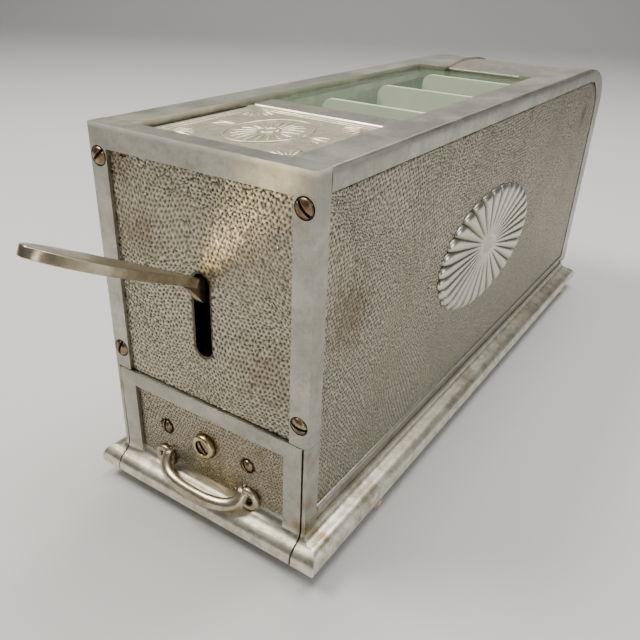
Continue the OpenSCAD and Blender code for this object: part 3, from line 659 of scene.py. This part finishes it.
def turned(name, node, body, material, profile, x, z):
    """Solid of revolution about an axis along Y from (radius, y) pairs, closed on itself."""
    seg = 72
    verts, faces = [], []
    n = len(profile)
    for k in range(seg):
        a = 2 * math.pi * k / seg
        for radius, y in profile:
            verts.append(at(x + radius * math.cos(a), y, z + radius * math.sin(a)))
    for k in range(seg):
        m = (k + 1) % seg
        for i in range(n):
            j = (i + 1) % n
            faces.append((k * n + i, k * n + j, m * n + j, m * n + i))
    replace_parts(piece(name, verts, faces, body, material), node)


BORE_R, ROLL_R = 4.43, 1.75
collar = [(BORE_R, 12.0), (5.2, 12.0), (5.2, 2.05), (6.3, 1.95)]
for k in range(13):
    a = math.radians(-30 + 150 * k / 12)
    collar.append((4.95 + ROLL_R * math.cos(a), 0.1 - ROLL_R * math.sin(a)))
collar.append((BORE_R, -1.2))
turned("lock_collar", "lock_bezel", "drawer", BRASSY, collar, LOCK_X, LOCK_Z)


screw_set("lock_plug", "lock_barrel", "lock", [
    dict(spot=(LOCK_X, -0.5, LOCK_Z), r=4.37, shank_r=2.4, length=17.5, dome=0.5, slot=(1.3, 1.2), turn=-52,
         seat=15.2)])


def bail_pull():
    """Two eyes and a bowed bar between them, melted into one casting."""
    verts, faces = [], []
    sides, eye_steps, bar_steps = 16, 40, 48
    eye_r, eye_wire, eye_thick = 4.7, 1.95, 1.7

    def tube(rings, closed):
        first = len(verts)
        for ring in rings:
            verts.extend(ring)
        n, m = len(rings), len(rings[0])
        for i in range(n if closed else n - 1):
            for k in range(m):
                a, b = first + i * m + k, first + i * m + (k + 1) % m
                c, d = first + (i + 1) % n * m + (k + 1) % m, first + (i + 1) % n * m + k
                faces.append((a, b, c, d))
        if not closed:
            faces.append(tuple(first + k for k in range(m)))
            faces.append(tuple(first + (n - 1) * m + k for k in range(m)))

    for side in (-1, 1):
        rings = []
        for i in range(eye_steps):
            t = 2 * math.pi * i / eye_steps
            ring = []
            for k in range(sides):
                p = 2 * math.pi * k / sides
                rad = eye_r + eye_wire * math.cos(p)
                ring.append(at(LOCK_X + side * PULL_HALF + rad * math.cos(t), 0.3 + eye_thick * math.sin(p),
                               PULL_Z + rad * math.sin(t)))
            rings.append(ring)
        tube(rings, True)
    rings = []
    for i in range(bar_steps + 1):
        t = math.pi * i / bar_steps
        up = math.sin(t)
        x = LOCK_X - (PULL_HALF - 2.4) * math.cos(t)
        y = 0.2 - 8.7 * up ** 0.7
        z = PULL_Z + 4.4 - 10.2 * up ** 0.65
        thick, wide = 2.5 + 0.6 * up, 3.3 + 0.9 * up ** 1.5
        lean = math.radians(70) * math.cos(t)
        ring = []
        for k in range(sides):
            p = 2 * math.pi * k / sides
            a, b = wide * math.cos(p), thick * math.sin(p)
            ring.append(at(x + a * math.sin(lean), y + b, z + a * math.cos(lean)))
        rings.append(ring)
    tube(rings, False)
    obj = piece("cast_bail_pull", verts, faces, "drawer", LEVER)
    melt = obj.modifiers.new("melt", "REMESH")
    melt.mode = "VOXEL"
    melt.voxel_size = 0.36 * MM
    melt.use_smooth_shade = True
    ease = obj.modifiers.new("ease", "SMOOTH")
    ease.iterations = 7
    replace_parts(obj, "drawer_pull")


bail_pull()

# ---------------------------------------------------------------- raised ornament on the feed plate


def fans():
    """Twenty rays in an oval ring, fans of rays in the corners and at the sides, and a double border."""
    verts, faces = [], []
    mid_x, mid_y = 0.5, 50.5

    def ridge(line, width, height):
        first = len(verts)
        n, m = len(line), 8
        for i, (x, y) in enumerate(line):
            ax, ay = line[max(i - 1, 0)]
            bx, by = line[min(i + 1, n - 1)]
            size = math.hypot(bx - ax, by - ay) or 1
            nx, ny = (by - ay) / size, -(bx - ax) / size
            end = min(1.0, 0.25 + min(i, n - 1 - i) / 5)
            for k in range(m):
                p = math.pi * k / (m - 1)
                w = width * end * math.cos(p)
                verts.append(at(x + nx * w, y + ny * w, PLATE_TOP - 0.05 + height * end * math.sin(p)))
        for i in range(n - 1):
            for k in range(m):
                a, b = first + i * m + k, first + i * m + (k + 1) % m
                faces.append((a, b, b + m, a + m))
        faces.append(tuple(first + k for k in range(m)))
        faces.append(tuple(first + (n - 1) * m + k for k in range(m)))

    def ray(cx, cy, angle, near, far, width, height):
        steps = 9
        ridge([(cx + math.cos(angle) * (near[0] + (far[0] - near[0]) * i / steps),
                cy + math.sin(angle) * (near[1] + (far[1] - near[1]) * i / steps)) for i in range(steps + 1)],
              width, height)

    for k in range(20):
        ray(mid_x, mid_y, 2 * math.pi * (k + 0.5) / 20, (4.5, 6.5), (14.5, 21.5), 1.25, 0.8)
    for a, b, width in ((17.5, 25.0, 0.8), (3.0, 4.6, 1.1)):
        ring = [(mid_x + a * math.cos(2 * math.pi * i / 56), mid_y + b * math.sin(2 * math.pi * i / 56))
                for i in range(57)]
        ridge(ring, width, 0.7)
    for sx in (-1, 1):
        for sy in (-1, 1):
            for k in range(5):
                turn = math.pi / 2 * (k + 0.5) / 5      # from the corner's own sides towards the centre
                angle = math.atan2(-sy * math.sin(turn), -sx * math.cos(turn))
                ray(mid_x + sx * 33, mid_y + sy * 31.5, angle, (4, 4), (13, 13), 0.95, 0.75)
        for k in (-1, 0, 1):
            ray(mid_x + sx * 20, mid_y, (0 if sx > 0 else math.pi) + k * 0.5, (0.5, 0.5), (11, 11), 1.1, 0.75)
    bits = 14
    for inset in (0.0, 3.2):
        x0, x1, y0, y1 = -38 + inset, 38.5 - inset, 13.5 + inset, 88 - inset
        for a, b in (((x0, y1), (x1, y1)), ((x0, y0), (x1, y0)), ((x1, y0), (x1, y1)), ((x0, y0), (x0, y1))):
            ridge([(a[0] + (b[0] - a[0]) * i / bits, a[1] + (b[1] - a[1]) * i / bits)
                   for i in range(bits + 1)], 0.8, 0.5)
    piece("feed_plate_fans", verts, faces, "body", CREAM)


fans()

# ---------------------------------------------------------------- CAD nodes that stay

for name in ("left_side", "right_side", "front_plate", "rear_cover", "drawer_front"):
    finish_node(name, ALUMINIUM, 0.5)
# Top faces in the paler copy of the frame's metal, a painted highlight
for name in ("crossbar", "rear_deck"):
    finish_node(name, HIGHLIT_ALUMINIUM, 0.3)
finish_node("feed_plate", CREAM, 0.15)
for name in ("partition_1", "partition_2", "partition_3", "bin_front_wall", "bin_rear_wall", "sorting_rail",
             "coin_track"):
    finish_node(name, BIN, 0.3)
for name in ("base_plate", "base_screws", "runner_left", "runner_right", "bin_floor", "gate_guide_left",
             "gate_guide_right", "gate_slide", "lever_bracket", "bracket_screws", "lever_shaft", "drive_pin",
             "return_spring", "lock_strike", "strike_screws", "drawer_tray", "tray_dividers", "lock_cam",
             "lock_nut"):
    finish_node(name, STEEL, 0.15)
finish_node("feet", BRASSY, 0.1)
finish_node("window_glass", GLASS)
finish_node("lever_arm", LEVER_DARK, 0.4)
finish_node("lever_paddle", LEVER, 1.0)

# ---------------------------------------------------------------- stage, light and camera


def stage_floor():
    """Paper sweep in metres: flat from front to back, then bent up to a wall, square to the camera."""
    verts, faces = [], []
    wide, front, back, bend, top, heading = 4.0, -2.2, 2.2, 0.9, 3.2, 32.7
    rows = [(front, 0.0), (back, 0.0)]
    for k in range(1, 13):
        a = math.pi / 2 * k / 12
        rows.append((back + bend * math.sin(a), bend * (1 - math.cos(a))))
    rows.append((back + bend, top))
    for y, z in rows:
        verts += [(-wide, y, z), (wide, y, z)]
    for k in range(len(rows) - 1):
        faces.append((2 * k, 2 * k + 1, 2 * k + 3, 2 * k + 2))
    mesh = bpy.data.meshes.new("studio_sweep")
    mesh.from_pydata(verts, [], faces)
    m = Mat("studio_paper", Roughness=0.7)
    obj = add("studio_sweep", mesh, m.done(m.mix(m.noise(3), (0.60, 0.60, 0.61), (0.64, 0.64, 0.65))))
    obj.rotation_euler = (0, 0, math.radians(heading))


stage_floor()


def softbox(name, spot, target, size, power, color):
    """Rectangular light at spot, facing target, in metres and watts."""
    light = bpy.data.lights.new(name, "AREA")
    light.shape = "RECTANGLE"
    light.size, light.size_y = size
    light.energy = power
    light.color = color
    obj = bpy.data.objects.new(name, light)
    bpy.context.scene.collection.objects.link(obj)
    obj.location = spot
    obj.rotation_euler = (Vector(target) - Vector(spot)).to_track_quat("-Z", "Y").to_euler()


softbox("key", (-0.9, -0.5, 1.6), (0, 0, 0.1), (0.8, 0.6), 34, (1.0, 0.95, 0.85))
softbox("side", (1.6, 0.5, 0.7), (0, 0, 0.1), (0.5, 0.9), 7, (0.97, 0.98, 1.0))
softbox("top", (0.1, 0.5, 1.8), (0, 0.1, 0.1), (1.0, 1.3), 34, (1.0, 0.97, 0.90))
softbox("front", (0.9, -1.6, 0.5), (0, 0, 0.1), (0.4, 0.9), 5, (1.0, 0.98, 0.95))


def studio_world():
    """Dark below, pale above."""
    world = bpy.data.worlds.new("studio")
    world.use_nodes = True
    tree = world.node_tree
    coords = tree.nodes.new("ShaderNodeTexCoord")
    split = tree.nodes.new("ShaderNodeSeparateXYZ")
    ramp = tree.nodes.new("ShaderNodeValToRGB")
    tree.links.new(coords.outputs["Generated"], split.inputs[0])
    tree.links.new(split.outputs["Z"], ramp.inputs["Fac"])
    stops = ((0.0, (0.10, 0.10, 0.105, 1)), (0.8, (0.62, 0.62, 0.61, 1)))
    for element, (position, color) in zip(ramp.color_ramp.elements, stops):
        element.position = position
        element.color = color
    tree.links.new(ramp.outputs["Color"], tree.nodes["Background"].inputs["Color"])
    tree.nodes["Background"].inputs["Strength"].default_value = 0.42
    bpy.context.scene.world = world


studio_world()

camera = bpy.data.cameras.new("camera")
camera.lens = 37.92
camera.sensor_width = 36
camera.shift_x = 0.0005
camera.shift_y = 0.0144
camera.clip_start = 0.01
eye = bpy.data.objects.new("camera", camera)
bpy.context.scene.collection.objects.link(eye)
forward = Vector((-0.4738, 0.7374, -0.4814)).normalized()
level = forward.cross(Vector((0, 0, 1))).normalized()
upward = level.cross(forward)
roll = math.radians(2.4)
right = level * math.cos(roll) + upward * math.sin(roll)
upward = right.cross(forward)
rotation = Matrix((right, upward, -forward)).transposed().to_4x4()
eye.matrix_world = Matrix.Translation(at(187.3, -192.5, 259.6)) @ rotation
bpy.context.scene.camera = eye
